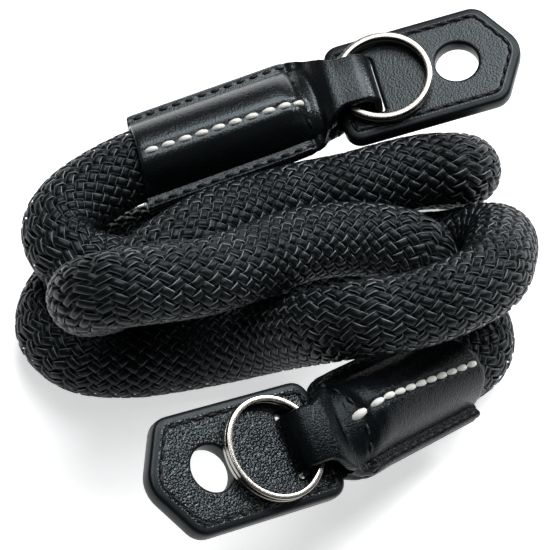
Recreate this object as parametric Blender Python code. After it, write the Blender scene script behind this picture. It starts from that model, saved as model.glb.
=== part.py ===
"""Coiled rope camera strap: a thick braided rope that lies coiled on its side, with a leather
sleeve and loop, a split ring and a slotted leather pad at each end. Metres, +Z up."""

from collections import namedtuple
from math import atan2, ceil, cos, pi, radians, sin, sqrt

import bmesh
import bpy
from mathutils import Matrix, Vector

# Rope
ROPE_D = 0.011
COIL_HALF = 0.034
ROPE_STEP = 0.006
ROPE_ROUNDING = 4

# Leather
LEATHER = 0.0013
FIT = 0.0003

# Sleeve, from its mouth to its shoulders
SLEEVE_LEN = 0.0265
SEAM_FLANGE = 0.0008
POCKET_WALL = 0.004
SHOULDER_LEN = 0.0022
SEAM_FILLET = 0.0012

# Tab
TAB_W = 0.0082
TAB_RUN = 0.0087

# Pad
PAD_LEN = 0.030
PAD_W = 0.0172
PAD_T = 0.0026
PAD_POINT = 0.005
PAD_CORNER_R = 0.0025
PAD_SHOULDER_R = 0.003
PAD_TIP_R = 0.0045
PAD_BEVEL = 0.0006
BRIDGE = 0.0047
SLOT_L = 0.0028
SLOT_W = 0.0096
HOLE_D = 0.0066
HOLE_FROM_TIP = 0.0106

# Split ring
RING_D = 0.015
RING_WIRE_W = 0.00105
RING_WIRE_T = 0.0009
RING_COIL_GAP = 0.00008
RING_TURNS = 1.94

SMOOTH_ANGLE = radians(40)

# Where the rope and its ends lie: x as a share of COIL_HALF, y and z in rope diameters
Station = namedtuple("Station", "where x y z")
ROUTE = (
    Station("left bend 1", -0.765, 1.365, 1.575),
    Station("left bend 1", -0.895, 0.98, 1.58),
    Station("left bend 1", -0.94, 0.575, 1.58),
    Station("left bend 1", -0.87, 0.2, 1.545),
    Station("under pass", -0.72, 0.11, 1.355),
    Station("under pass", -0.5, 0.245, 1.045),
    Station("under pass", -0.295, 0.42, 0.765),
    Station("under pass", -0.09, 0.58, 0.565),
    Station("under pass", 0.145, 0.745, 0.5),
    Station("under pass", 0.38, 0.91, 0.5),
    Station("under pass", 0.59, 1.02, 0.5),
    Station("right bend 1", 0.78, 1.035, 0.565),
    Station("right bend 1", 0.92, 0.945, 0.875),
    Station("right bend 1", 0.98, 0.62, 1.325),
    Station("right bend 1", 0.96, 0.09, 1.81),
    Station("right bend 1", 0.9, -0.475, 2.165),
    Station("lower pass", 0.745, -0.89, 2.365),
    Station("lower pass", 0.555, -1.155, 2.435),
    Station("lower pass", 0.38, -1.235, 2.41),
    Station("lower pass", 0.22, -1.135, 2.075),
    Station("lower pass", 0.02, -0.745, 1.18),
    Station("lower pass", -0.22, -0.645, 0.675),
    Station("lower pass", -0.44, -0.71, 0.535),
    Station("lower pass", -0.645, -0.78, 0.51),
    Station("left bend 2", -0.855, -0.69, 0.5),
    Station("left bend 2", -0.98, -0.275, 0.5),
    Station("left bend 2", -0.945, 0.29, 0.5),
    Station("back pass", -0.79, 0.765, 0.5),
    Station("back pass", -0.6, 1.11, 0.5),
    Station("back pass", -0.41, 1.365, 0.5),
    Station("back pass", -0.205, 1.565, 0.5),
    Station("back pass", 0.0, 1.735, 0.5),
    Station("back pass", 0.205, 1.91, 0.5),
    Station("back pass", 0.41, 2.09, 0.5),
    Station("back pass", 0.66, 2.265, 0.5),
    Station("right bend 2", 0.81, 2.18, 0.645),
    Station("right bend 2", 0.86, 2.01, 0.975),
    Station("right bend 2", 0.805, 1.825, 1.3),
    Station("upper pass", 0.66, 1.72, 1.42),
    Station("upper pass", 0.485, 1.58, 1.41),
    Station("upper pass", 0.32, 1.4, 1.425),
    Station("upper pass", 0.11, 1.21, 1.475),
    Station("upper pass", -0.095, 0.92, 1.59),
    Station("upper pass", -0.255, 0.565, 1.82),
    Station("upper pass", -0.405, 0.09, 2.045),
    Station("upper pass", -0.545, -0.355, 2.12),
    Station("left bend 3", -0.69, -0.725, 2.145),
    Station("left bend 3", -0.78, -1.02, 2.545),
    Station("left bend 3", -0.695, -1.2, 3),
    Station("middle pass", -0.515, -1.12, 3.01),
    Station("middle pass", -0.325, -0.9, 2.81),
    Station("middle pass", -0.17, -0.575, 2.535),
    Station("middle pass", -0.04, -0.22, 2.255),
    Station("middle pass", 0.12, 0.145, 1.99),
    Station("middle pass", 0.32, 0.4, 1.725),
    Station("middle pass", 0.51, 0.435, 1.58),
    Station("right bend 3", 0.63, 0.355, 1.38),
    Station("right bend 3", 0.675, 0.12, 1.035),
    Station("right bend 3", 0.74, 0.01, 0.79),
    Station("right bend 3", 0.82, -0.045, 0.635),
    Station("right bend 3", 0.875, -0.235, 0.535),
    Station("right bend 3", 0.89, -0.48, 0.5),
    Station("right bend 3", 0.855, -0.735, 0.52),
)

# A leather end: where its mouth lies, then in degrees how its sleeve and its pad lie, its tab from
# the neck to the fold as a share of TAB_RUN, and its ring's middle from the pad's end, of RING_D
END_FIELDS = "name mouth heading pitch roll tab pad_heading pad_pitch pad_roll ring"
End = namedtuple("End", END_FIELDS)
UPPER = End("upper", (-0.575, 1.725, 1.58), 22.3, 2.0, 9.0, 1.0, 13.5, 8.5, 5.0, 0.527)
LOWER = End("lower", (0.74, -1.08, 0.665), 224.0, 29.0, 16.0, 0.76, 210.5, 23.0, 18.0, 0.66)

BLACK_ROPE = (0.012, 0.014, 0.015)
BLACK_LEATHER = (0.016, 0.018, 0.019)
NICKEL = (0.62, 0.6, 0.56)

# Puts the origin under the middle of the whole strap
PLACE = (0.0, 0.173 * ROPE_D, 0.007 * ROPE_D)

# Worked out from the sizes above
POCKET_R = ROPE_D / 2 + FIT
BULGE_R = POCKET_R + LEATHER
SLEEVE_HALF_W = BULGE_R + SEAM_FLANGE
RING_H = 2 * RING_WIRE_T + RING_COIL_GAP
LOOP_H = PAD_T + RING_H + 3 * FIT
NECK_AT = SLEEVE_LEN + SHOULDER_LEN
PAD_MID_N = -LOOP_H / 2 + FIT + PAD_T / 2


def clear_scene():
    """Remove whatever the file holds."""
    for found in list(bpy.data.objects):
        bpy.data.objects.remove(found, do_unlink=True)


def make_material(name, colour, roughness, metallic):
    """A Principled material of one colour."""
    material = bpy.data.materials.new(name)
    material.use_nodes = True
    shader = material.node_tree.nodes["Principled BSDF"]
    shader.inputs["Base Color"].default_value = (*colour, 1.0)
    shader.inputs["Roughness"].default_value = roughness
    shader.inputs["Metallic"].default_value = metallic
    return material


def add_object(name, bm, material=None):
    """Turn a bmesh into an object, with its faces pointing out."""
    bmesh.ops.recalc_face_normals(bm, faces=bm.faces)
    mesh = bpy.data.meshes.new(name)
    bm.to_mesh(mesh)
    bm.free()
    obj = bpy.data.objects.new(name, mesh)
    obj.location = PLACE
    bpy.context.scene.collection.objects.link(obj)
    if material:
        mesh.materials.append(material)
        mesh.shade_smooth()
        mesh.set_sharp_from_angle(angle=SMOOTH_ANGLE)
    return obj


def hide_cutter(obj):
    """Keep a cutter out of the render and of the build."""
    obj.hide_render = True
    obj.display_type = "WIRE"


def cut(obj, cutter):
    """Cut one object out of another."""
    hide_cutter(cutter)
    boolean = obj.modifiers.new(cutter.name, "BOOLEAN")
    boolean.operation = "DIFFERENCE"
    boolean.solver = "EXACT"
    boolean.object = cutter


def loft(bm, rings):
    """Join closed rings of points into one skin with flat caps."""
    rows = [[bm.verts.new(point) for point in ring] for ring in rings]
    count = len(rows[0])
    for row, following in zip(rows, rows[1:]):
        for i in range(count):
            j = (i + 1) % count
            bm.faces.new((row[i], row[j], following[j], following[i]))
    bm.faces.new(rows[0])
    bm.faces.new(list(reversed(rows[-1])))


def curve_through(points, step):
    """Evenly spaced points on the smooth curve through the given points."""
    padded = [points[0] * 2 - points[1], *points, points[-1] * 2 - points[-2]]
    fine = []
    pieces = 16
    for a, b, c, d in zip(padded, padded[1:], padded[2:], padded[3:]):
        for k in range(pieces):
            t = k / pieces
            fine.append(
                0.5 * (2 * b + (c - a) * t + (2 * a - 5 * b + 4 * c - d) * t**2
                       + (3 * b - a - 3 * c + d) * t**3))
    fine.append(points[-1])
    lengths = [0.0]
    for before, after in zip(fine, fine[1:]):
        lengths.append(lengths[-1] + (after - before).length)
    count = ceil(lengths[-1] / step)
    even = []
    at = 0
    for k in range(count + 1):
        wanted = lengths[-1] * k / count
        while at < len(fine) - 2 and lengths[at + 1] < wanted:
            at += 1
        share = (wanted - lengths[at]) / (lengths[at + 1] - lengths[at])
        even.append(fine[at].lerp(fine[at + 1], share))
    return even


def attitude(heading, pitch, roll):
    """Rotation whose X runs along the leather and whose Z is its front; roll turns it to -Y."""
    along = Vector((cos(radians(pitch)) * cos(radians(heading)),
                    cos(radians(pitch)) * sin(radians(heading)), sin(radians(pitch))))
    across = Vector((0, 0, 1)).cross(along).normalized()
    front = along.cross(across)
    turn = radians(roll) if across.y > 0 else -radians(roll)
    level = Matrix((along, across, front)).transposed()
    return level @ Matrix.Rotation(turn, 3, "X")


def spot(x, y, z):
    """A place in metres, from a share of COIL_HALF and two counts of rope diameters."""
    return Vector((x * COIL_HALF, y * ROPE_D, z * ROPE_D))


def sleeve_frame(end):
    """Placement of an end's sleeve, at its mouth."""
    turn = attitude(end.heading, end.pitch, end.roll)
    return Matrix.Translation(spot(*end.mouth)) @ turn.to_4x4()


def tab_frame(end):
    """Placement of an end's tab, ring and pad, at the neck."""
    neck = sleeve_frame(end) @ Vector((NECK_AT, 0, 0))
    turn = attitude(end.pad_heading, end.pad_pitch, end.pad_roll).to_4x4()
    return Matrix.Translation(neck) @ turn


def fold_at(end):
    """Where the tab's loop ends, from the neck."""
    return end.tab * TAB_RUN


def bridge_end(end):
    """Where the pad's bridge ends and its slot starts, from the neck."""
    return fold_at(end) - LEATHER - 2 * FIT


def pad_start(end):
    """Where the pad starts, from the neck."""
    return bridge_end(end) - BRIDGE


def rope_ends(end):
    """Three points of the rope inside a sleeve, deepest first."""
    deepest = SLEEVE_LEN - POCKET_WALL - 2 * FIT
    return [sleeve_frame(end) @ Vector((deepest * share, 0, 0)) for share in (1.0, 0.5, 0.0)]


def rope_line():
    """The whole centre line of the rope, from the upper sleeve to the lower one."""
    middle = [spot(station.x, station.y, station.z) for station in ROUTE]
    through = rope_ends(UPPER) + middle + list(reversed(rope_ends(LOWER)))
    return curve_through(through, ROPE_STEP)


def make_rope(material):
    """The rope, a tube along its centre line."""
    data = bpy.data.curves.new("rope", "CURVE")
    data.dimensions = "3D"
    points = rope_line()
    spline = data.splines.new("POLY")
    spline.points.add(len(points) - 1)
    for point, place in zip(spline.points, points):
        point.co = (*place, 1.0)
    data.bevel_depth = ROPE_D / 2
    data.bevel_resolution = ROPE_ROUNDING
    data.use_fill_caps = True
    data.materials.append(material)
    obj = bpy.data.objects.new("rope", data)
    obj.location = PLACE
    bpy.context.scene.collection.objects.link(obj)
    return obj


def half_height(w, half_width, bulge, edge):
    """Half the thickness of the leather, w from its middle line."""
    round_top = sqrt(max(bulge * bulge - w * w, 0.0))
    rise = max(round_top - edge, 0.0)
    soft = SEAM_FILLET * max(1 - abs(abs(w) - bulge) / SEAM_FILLET, 0.0) / 3
    closing = min(1.0, (half_width - abs(w)) / (LEATHER / 2))
    return edge * (0.72 + 0.28 * closing) + rise + soft * min(1.0, rise / LEATHER + closing)


def leather_section(frame, at, half_width, bulge, edge):
    """One closed cross-section of a sleeve or tab."""
    steps = 12
    across = [-half_width * cos(pi * k / steps) for k in range(steps + 1)]
    top = [(w, half_height(w, half_width, bulge, edge)) for w in across]
    outline = top + [(w, -h) for w, h in reversed(top)]
    return [frame @ Vector((at, w, h)) for w, h in outline]


def bent_frame(end, share):
    """Placement at the neck, turned part of the way from the sleeve to the tab."""
    first = sleeve_frame(end).to_quaternion()
    tab = tab_frame(end)
    turn = first.slerp(tab.to_quaternion(), share).to_matrix().to_4x4()
    return Matrix.Translation(tab.translation) @ turn


# Sections of the leather: how far along, then half widths and heights, each as a share of its size
Section = namedtuple("Section", "size along width bulge edge bend")
SECTIONS = (
    Section("sleeve", 0.0, 0.97, 0.98, 1.0, 0.0),
    Section("sleeve", 0.03, 1.0, 1.0, 1.0, 0.0),
    Section("sleeve", 0.3, 1.0, 1.0, 1.0, 0.0),
    Section("sleeve", 0.6, 1.0, 1.0, 1.0, 0.0),
    Section("sleeve", 0.8, 1.0, 0.99, 1.0, 0.0),
    Section("sleeve", 0.87, 1.0, 0.95, 1.0, 0.1),
    Section("sleeve", 0.93, 0.99, 0.82, 1.05, 0.2),
    Section("sleeve", 0.97, 0.96, 0.68, 1.2, 0.35),
)


def make_leather_end(end, material):
    """A sleeve that grips the rope, its shoulders, and the tab that loops through the pad."""
    tab = tab_frame(end)
    half_w = SLEEVE_HALF_W
    half_tab = TAB_W / 2
    loop_half = LOOP_H / 2 + LEATHER
    rings = []
    for row in SECTIONS:
        frame = bent_frame(end, row.bend)
        at = row.along * SLEEVE_LEN - NECK_AT
        rings.append(leather_section(frame, at, row.width * half_w, row.bulge * BULGE_R,
                                     row.edge * LEATHER))
    steps = 4
    for k in range(1, steps + 1):
        share = k / steps
        narrowing = (1 + cos(pi * share)) / 2
        width = half_tab + (0.93 * half_w - half_tab) * narrowing
        edge = loop_half + (1.4 * LEATHER - loop_half) * narrowing
        frame = bent_frame(end, 0.35 + 0.65 * share)
        rings.append(tab_section(frame, (share - 1) * SHOULDER_LEN, width, edge, narrowing))
    fold_steps = 6
    rings.append(tab_section(tab, fold_at(end) - loop_half * 0.9, half_tab, loop_half, 0.0))
    for k in range(1, fold_steps + 1):
        turn = pi / 2 * k / fold_steps * 0.86
        at = fold_at(end) - loop_half * 0.9 * (1 - sin(turn) / sin(pi / 2 * 0.86))
        rings.append(tab_section(tab, at, half_tab, loop_half * cos(turn) ** 0.6, 0.0))
    bm = bmesh.new()
    loft(bm, rings)
    obj = add_object(f"{end.name}_sleeve", bm, material)
    cut(obj, pocket_cutter(end, sleeve_frame(end)))
    cut(obj, loop_cutter(end, tab))
    return obj


def tab_section(frame, at, half_width, half_thick, swell):
    """One closed cross-section of the tab, flat with eased edges."""
    steps = 12
    across = [-half_width * cos(pi * k / steps) for k in range(steps + 1)]
    top = []
    for w in across:
        side = min(1.0, (half_width - abs(w)) / (LEATHER / 2))
        crown = swell * LEATHER * (1 - (w / half_width) ** 2)
        top.append((w, half_thick * (0.9 + 0.1 * side) + crown))
    outline = top + [(w, -h) for w, h in reversed(top)]
    return [frame @ Vector((at, w, h)) for w, h in outline]


def pocket_cutter(end, frame):
    """The round pocket that the rope's end sits in."""
    overrun = 1.5 * LEATHER
    sides = 24
    rings = []
    for at in (-overrun, SLEEVE_LEN - POCKET_WALL):
        ring = []
        for k in range(sides):
            turn = 2 * pi * k / sides
            ring.append(frame @ Vector((at, POCKET_R * cos(turn), POCKET_R * sin(turn))))
        rings.append(ring)
    bm = bmesh.new()
    loft(bm, rings)
    return add_object(f"{end.name}_pocket_cutter", bm)


def loop_cutter(end, frame):
    """The opening of the loop, which holds the pad's bridge and the ring."""
    start = pad_start(end) - 2 * FIT
    finish = fold_at(end) - LEATHER
    half = LOOP_H / 2
    corner = half * 0.55
    corners = ((start, -half), (finish, -half), (finish, half), (start, half))
    outline = rounded_outline(corners, (corner / 2, corner, corner, corner / 2), 4)
    rings = []
    for side in (-TAB_W, TAB_W):
        rings.append([frame @ Vector((s, side, n)) for s, n in outline])
    bm = bmesh.new()
    loft(bm, rings)
    return add_object(f"{end.name}_loop_cutter", bm)


def rounded_outline(corners, radii, steps):
    """A closed outline of straight sides with each corner rounded by an arc."""
    count = len(corners)
    outline = []
    for i, (corner, radius) in enumerate(zip(corners, radii)):
        here = Vector(corner)
        before = (Vector(corners[i - 1]) - here).normalized()
        after = (Vector(corners[(i + 1) % count]) - here).normalized()
        half = before.angle(after) / 2
        centre = here + (before + after).normalized() * (radius / sin(half))
        first = here + before * (radius * cos(half) / sin(half)) - centre
        last = here + after * (radius * cos(half) / sin(half)) - centre
        start = atan2(first.y, first.x)
        sweep = atan2(last.y, last.x) - start
        sweep = (sweep + pi) % (2 * pi) - pi
        for k in range(steps + 1):
            turn = start + sweep * k / steps
            outline.append((centre.x + radius * cos(turn), centre.y + radius * sin(turn)))
    return outline


def make_pad(end, material):
    """The leather pad: square at the ring's end, a blunt point at the other, with slot and hole."""
    frame = tab_frame(end)
    half = PAD_W / 2
    tip = pad_start(end) + PAD_LEN
    shoulder = tip - PAD_POINT
    start = pad_start(end)
    corners = ((start, -half), (shoulder, -half), (tip, 0), (shoulder, half), (start, half))
    radii = (PAD_CORNER_R, PAD_SHOULDER_R, PAD_TIP_R, PAD_SHOULDER_R, PAD_CORNER_R)
    wide = rounded_outline(corners, radii, 5)
    rings = []
    for inset, n in ((PAD_BEVEL, -PAD_T / 2), (0, PAD_BEVEL - PAD_T / 2),
                     (0, PAD_T / 2 - PAD_BEVEL), (PAD_BEVEL, PAD_T / 2)):
        ring = []
        for s, w in wide:
            middle = (start + tip) / 2
            near = (s - middle) * (1 - 2 * inset / PAD_LEN) + middle
            ring.append(frame @ Vector((near, w * (1 - inset / half), PAD_MID_N + n)))
        rings.append(ring)
    bm = bmesh.new()
    loft(bm, rings)
    obj = add_object(f"{end.name}_pad", bm, material)
    cut(obj, slot_cutter(end, frame))
    cut(obj, hole_cutter(end, frame))
    return obj


def slot_cutter(end, frame):
    """The slot that the tab comes down through."""
    near = bridge_end(end)
    far = bridge_end(end) + SLOT_L
    half = SLOT_W / 2
    corner = SLOT_L / 4
    outline = rounded_outline(((near, -half), (far, -half), (far, half), (near, half)),
                              (corner, corner, corner, corner), 3)
    return prism_cutter(f"{end.name}_slot_cutter", frame, outline)


def hole_cutter(end, frame):
    """The round hole through the pad."""
    sides = 32
    centre = pad_start(end) + PAD_LEN - HOLE_FROM_TIP
    turns = [2 * pi * k / sides for k in range(sides)]
    outline = [(centre + HOLE_D / 2 * cos(t), HOLE_D / 2 * sin(t)) for t in turns]
    return prism_cutter(f"{end.name}_hole_cutter", frame, outline)


def prism_cutter(name, frame, outline):
    """A cutter that runs right through the pad."""
    rings = []
    for n in (-PAD_T, PAD_T):
        rings.append([frame @ Vector((s, w, PAD_MID_N + n)) for s, w in outline])
    bm = bmesh.new()
    loft(bm, rings)
    return add_object(name, bm)


def make_ring(end, material):
    """A split ring: one flat wire wound almost twice, lying on the pad inside the loop."""
    frame = tab_frame(end)
    centre = pad_start(end) + end.ring * RING_D
    middle_r = (RING_D - RING_WIRE_W) / 2
    pitch = RING_WIRE_T + RING_COIL_GAP
    low = PAD_MID_N + PAD_T / 2 + FIT + RING_WIRE_T / 2
    section = rounded_outline(
        ((-RING_WIRE_W / 2, -RING_WIRE_T / 2), (RING_WIRE_W / 2, -RING_WIRE_T / 2),
         (RING_WIRE_W / 2, RING_WIRE_T / 2), (-RING_WIRE_W / 2, RING_WIRE_T / 2)),
        (RING_WIRE_T / 4,) * 4, 1)
    steps = 88
    rings = []
    for k in range(steps + 1):
        wound = RING_TURNS * k / steps
        turn = 2 * pi * wound + pi / 3
        rise = pitch * min(max((wound - RING_TURNS / 2) * 6 + 0.5, 0.0), 1.0)
        ring = []
        for out, up in section:
            r = middle_r + out
            ring.append(frame @ Vector((centre + r * cos(turn), r * sin(turn), low + rise + up)))
        rings.append(ring)
    bm = bmesh.new()
    loft(bm, rings)
    return add_object(f"{end.name}_ring", bm, material)


def main():
    """Build every piece of the strap."""
    clear_scene()
    rope = make_material("rope_braid", BLACK_ROPE, 0.6, 0.0)
    leather = make_material("black_leather", BLACK_LEATHER, 0.45, 0.0)
    nickel = make_material("nickel", NICKEL, 0.2, 1.0)
    make_rope(rope)
    for end in (UPPER, LOWER):
        make_leather_end(end, leather)
        make_pad(end, leather)
        make_ring(end, nickel)


main()
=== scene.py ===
"""Dresses the coiled rope camera strap: a braided rope, stitched leather ends and split rings.

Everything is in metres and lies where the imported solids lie. A leather end has its own frame: s
runs along the leather from the rope to the pad, w runs across it and n points out of its front.
"""

import logging
from dataclasses import dataclass
from enum import Enum
from math import atan2, ceil, cos, exp, pi, radians, sin, sqrt
from typing import Callable, Mapping, Sequence, Union

import bmesh
import bpy
from mathutils import Matrix, Vector


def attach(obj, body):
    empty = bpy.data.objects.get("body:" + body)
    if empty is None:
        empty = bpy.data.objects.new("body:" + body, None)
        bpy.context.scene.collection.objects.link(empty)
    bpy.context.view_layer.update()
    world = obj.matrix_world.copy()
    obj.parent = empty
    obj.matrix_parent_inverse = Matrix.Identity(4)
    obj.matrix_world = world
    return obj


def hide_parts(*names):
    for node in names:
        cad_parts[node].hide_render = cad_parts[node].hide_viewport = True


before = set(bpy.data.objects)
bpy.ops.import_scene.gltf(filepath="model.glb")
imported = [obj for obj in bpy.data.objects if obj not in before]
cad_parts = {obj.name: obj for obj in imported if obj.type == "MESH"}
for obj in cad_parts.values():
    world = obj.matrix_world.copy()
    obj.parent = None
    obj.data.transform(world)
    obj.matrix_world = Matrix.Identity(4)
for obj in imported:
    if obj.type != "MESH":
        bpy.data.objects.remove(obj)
log = logging.getLogger("strap")

ROPE_D = 0.011
COIL_HALF = 0.034
PLACE = Vector((0.0, 0.173 * ROPE_D, 0.007 * ROPE_D))
COOL = (0.83, 0.95, 1.0, 1.0)
SMOOTH_BELOW = radians(40)

Point = Sequence[float]
Outline = list[tuple[float, float]]

# By the share of the sleeve's length: its share of the full width, its share of the turn to the
# tab's way, and how high the dome over the rope is
WIDTHS = ((0.0, 0.985), (0.02, 1.0), (0.94, 1.0), (0.975, 0.985), (1.0, 0.95))
BENDS = ((0.0, 0.0), (0.8, 0.0), (0.87, 0.1), (0.93, 0.2), (0.97, 0.35), (1.0, 0.42))
DOMES = ((0.0, 0.00685), (0.02, 0.007), (0.78, 0.0069), (0.86, 0.0066), (0.92, 0.0058),
         (0.955, 0.0049), (1.0, 0.0036), (1.04, 0.003), (1.1, 0.003))

# How far in from an outline and how far below the face a rim runs: the pad's outer rim from its
# sewn row outwards, and the rim of its slot and hole
RIM = ((0.00105, 0.00003), (0.0006, 0.00004), (0.0003, 0.00011), (0.0001, 0.00028), (0.0, 0.0006))
CUT_RIM = ((-0.0007, 0.0), (-0.0004, 0.0), (-0.0002, 0.00007), (-0.00006, 0.0002), (0.0, 0.0005))

# How far in from the sleeve's sewn edge its side runs, and at what share of the edge's height
SIDE = ((0.00026, 0.05), (0.00008, 0.2), (0.0, 0.5), (0.00008, 0.8))

# Each light's name, place, length of side and watts
LIGHTS = (
    ("key", (0.19, 0.5, 0.95), 0.7, 11.5),
    ("top", (0.1, -0.02, 1.0), 0.3, 1.9),
    ("right", (0.6, 0.42, 0.5), 0.22, 3.6),
)


class Body(Enum):
    """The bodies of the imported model."""

    ROOT = "root"


class Slot(Enum):
    """The record's material slots."""

    ROPE = "rope_braid"
    LEATHER = "black_leather"
    NICKEL = "nickel"


class Hand(Enum):
    """Which way a set of strands winds round the rope."""

    RIGHT = 1.0
    LEFT = -1.0


class Face(Enum):
    """The two faces of a leather end."""

    FRONT = 1.0
    BACK = -1.0


class Value:
    """An output of a node, which arithmetic joins to further Math nodes."""

    def __init__(self, graph: "Graph", socket: bpy.types.NodeSocket) -> None:
        """Keep the tree and the node's output socket."""
        self.graph = graph
        self.socket = socket

    def maths(self, operation: str, *others: "Feed") -> "Value":
        """Join this value to others in a Math node of the given operation."""
        return self.graph.node("ShaderNodeMath", {"operation": operation}, [self, *others])

    def __add__(self, other: "Feed") -> "Value":
        """This value plus another."""
        return self.maths("ADD", other)

    def __mul__(self, other: "Feed") -> "Value":
        """This value times another."""
        return self.maths("MULTIPLY", other)

    def __sub__(self, other: "Feed") -> "Value":
        """This value less another."""
        return self.maths("SUBTRACT", other)

    def __rsub__(self, other: "Feed") -> "Value":
        """Another value less this one."""
        return self.graph.node("ShaderNodeMath", {"operation": "SUBTRACT"}, [other, self])

    def __truediv__(self, other: "Feed") -> "Value":
        """This value over another."""
        return self.maths("DIVIDE", other)

    def other(self, name: str) -> "Value":
        """Another output of the same node, by name."""
        return Value(self.graph, self.socket.node.outputs[name])

    def limited(self, low: float, high: float) -> "Value":
        """This value kept between two numbers."""
        return self.maths("MAXIMUM", low).maths("MINIMUM", high)


Feed = Union[Value, float, int, str, Sequence[float], bpy.types.ID]


class Graph:
    """A node tree that is being built."""

    def __init__(self, tree: bpy.types.NodeTree) -> None:
        """Keep the shader or geometry tree and empty it."""
        self.tree = tree
        tree.nodes.clear()

    def node(self, kind: str, settings: Mapping[str, object] | None = None,
             values: Sequence[Feed] | Mapping[str, Feed] = (), pick: int | str = 0) -> Value:
        """Add a node, set it up and feed its sockets.

        Args:
            kind: The node's type.
            settings: Its settings, set before the sockets.
            values: What its live sockets take, in order or by name.
            pick: Which of its live outputs is wanted, by order or name.

        Returns:
            The wanted output.
        """
        made = self.tree.nodes.new(kind)
        for key, setting in (settings or {}).items():
            setattr(made, key, setting)
        live = [socket for socket in made.inputs if socket.enabled]
        if isinstance(values, Mapping):
            named = {socket.name: socket for socket in live}
            pairs = [(named[name], value) for name, value in values.items()]
        else:
            pairs = list(zip(live, values))
        for socket, value in pairs:
            self.feed(socket, value)
        outputs = [socket for socket in made.outputs if socket.enabled]
        if not outputs:
            return Value(self, made.inputs[0])
        if isinstance(pick, str):
            return Value(self, next(socket for socket in outputs if socket.name == pick))
        return Value(self, outputs[pick])

    def feed(self, socket: bpy.types.NodeSocket, value: Feed) -> None:
        """Link a value to a socket, or set the socket to it.

        Args:
            socket: The input socket.
            value: A node's output, or what the socket is set to.
        """
        if isinstance(value, Value):
            self.tree.links.new(value.socket, socket)
        else:
            socket.default_value = value

    def vector(self, operation: str, *values: Feed) -> Value:
        """Join values in a Vector Math node of the given operation."""
        return self.node("ShaderNodeVectorMath", {"operation": operation}, values)

    def blend(self, factor: Feed, first: Point, second: Point) -> Value:
        """Mix two colours, by how much of the second is wanted."""
        return self.node("ShaderNodeMix", {"data_type": "RGBA"},
                         [factor, (*first, 1.0), (*second, 1.0)])

    def place(self) -> Value:
        """The Object coordinates of the shaded point."""
        return self.node("ShaderNodeTexCoord", {}, pick="Object")

    def noise(self, place: Value, scale: float, detail: float = 2.0, **more: float) -> Value:
        """Add a Noise texture.

        Args:
            place: Where it is read.
            scale: Its scale.
            detail: Its detail.
            more: What its further sockets are set to.

        Returns:
            How strong the noise is.
        """
        further = {name.capitalize(): value for name, value in more.items()}
        return self.node("ShaderNodeTexNoise", {}, {
            "Vector": place, "Scale": scale, "Detail": detail, **further})

    def bump(self, height: Value, distance: float, strength: float = 1.0) -> Value:
        """Turn a height into a bumped normal."""
        return self.node("ShaderNodeBump", {}, {
            "Strength": strength, "Distance": distance, "Height": height})

    def principled(self, colour: Feed, rough: Feed, sockets: Mapping[str, Feed]) -> Value:
        """Add a Principled shader with its colour, its roughness and further sockets."""
        return self.node("ShaderNodeBsdfPrincipled", {}, {
            "Base Color": colour, "Roughness": rough, **sockets})


class Nodes(Graph):
    """A Geometry Nodes tree with named inputs, run once on a mesh."""

    def __init__(self, name: str, inputs: Mapping[str, str]) -> None:
        """Make the tree and its inputs.

        Args:
            name: The tree's name.
            inputs: Each input's name and kind, such as Float or Material.
        """
        super().__init__(bpy.data.node_groups.new(name, "GeometryNodeTree"))
        face = self.tree.interface
        face.new_socket(name="Geometry", in_out="INPUT", socket_type="NodeSocketGeometry")
        for label, kind in inputs.items():
            face.new_socket(name=label, in_out="INPUT", socket_type=f"NodeSocket{kind}")
        face.new_socket(name="Geometry", in_out="OUTPUT", socket_type="NodeSocketGeometry")
        self.entry = self.tree.nodes.new("NodeGroupInput")

    def given(self, label: str) -> Value:
        """One of the tree's inputs, by name."""
        return Value(self, self.entry.outputs[label])

    def close(self, geometry: Value) -> None:
        """Give the finished geometry to the tree's output."""
        self.node("NodeGroupOutput", {}, [geometry])

    def run(self, host: bpy.types.Object, name: str,
            settings: Mapping[str, object]) -> bpy.types.Object:
        """Run the tree on a host object and keep the result as a plain mesh.

        Args:
            host: The object that carries the tree, removed afterwards.
            name: The new piece's name.
            settings: What each of the tree's inputs is set to.

        Returns:
            The new piece.
        """
        modifier = host.modifiers.new("nodes", "NODES")
        modifier.node_group = self.tree
        for item in self.tree.interface.items_tree:
            if item.in_out == "INPUT" and item.name in settings:
                modifier[item.identifier] = settings[item.name]
        graph = bpy.context.evaluated_depsgraph_get()
        mesh = bpy.data.meshes.new_from_object(host.evaluated_get(graph),
                                               preserve_all_data_layers=True, depsgraph=graph)
        host.modifiers.remove(modifier)
        bpy.data.objects.remove(host)
        return add_object(name, mesh)


@dataclass(frozen=True)
class Finish:
    """What every material has. Each kind lays out a shader of its own."""

    name: str

    def shader(self, graph: Graph) -> Value:
        """Lay out the shader in the material's tree."""
        raise NotImplementedError(self.name)

    def material(self) -> bpy.types.Material:
        """Build the material.

        Returns:
            The material.
        """
        made = bpy.data.materials.new(self.name)
        made.use_nodes = True
        graph = Graph(made.node_tree)
        graph.node("ShaderNodeOutputMaterial", {}, [self.shader(graph)])
        return made


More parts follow.
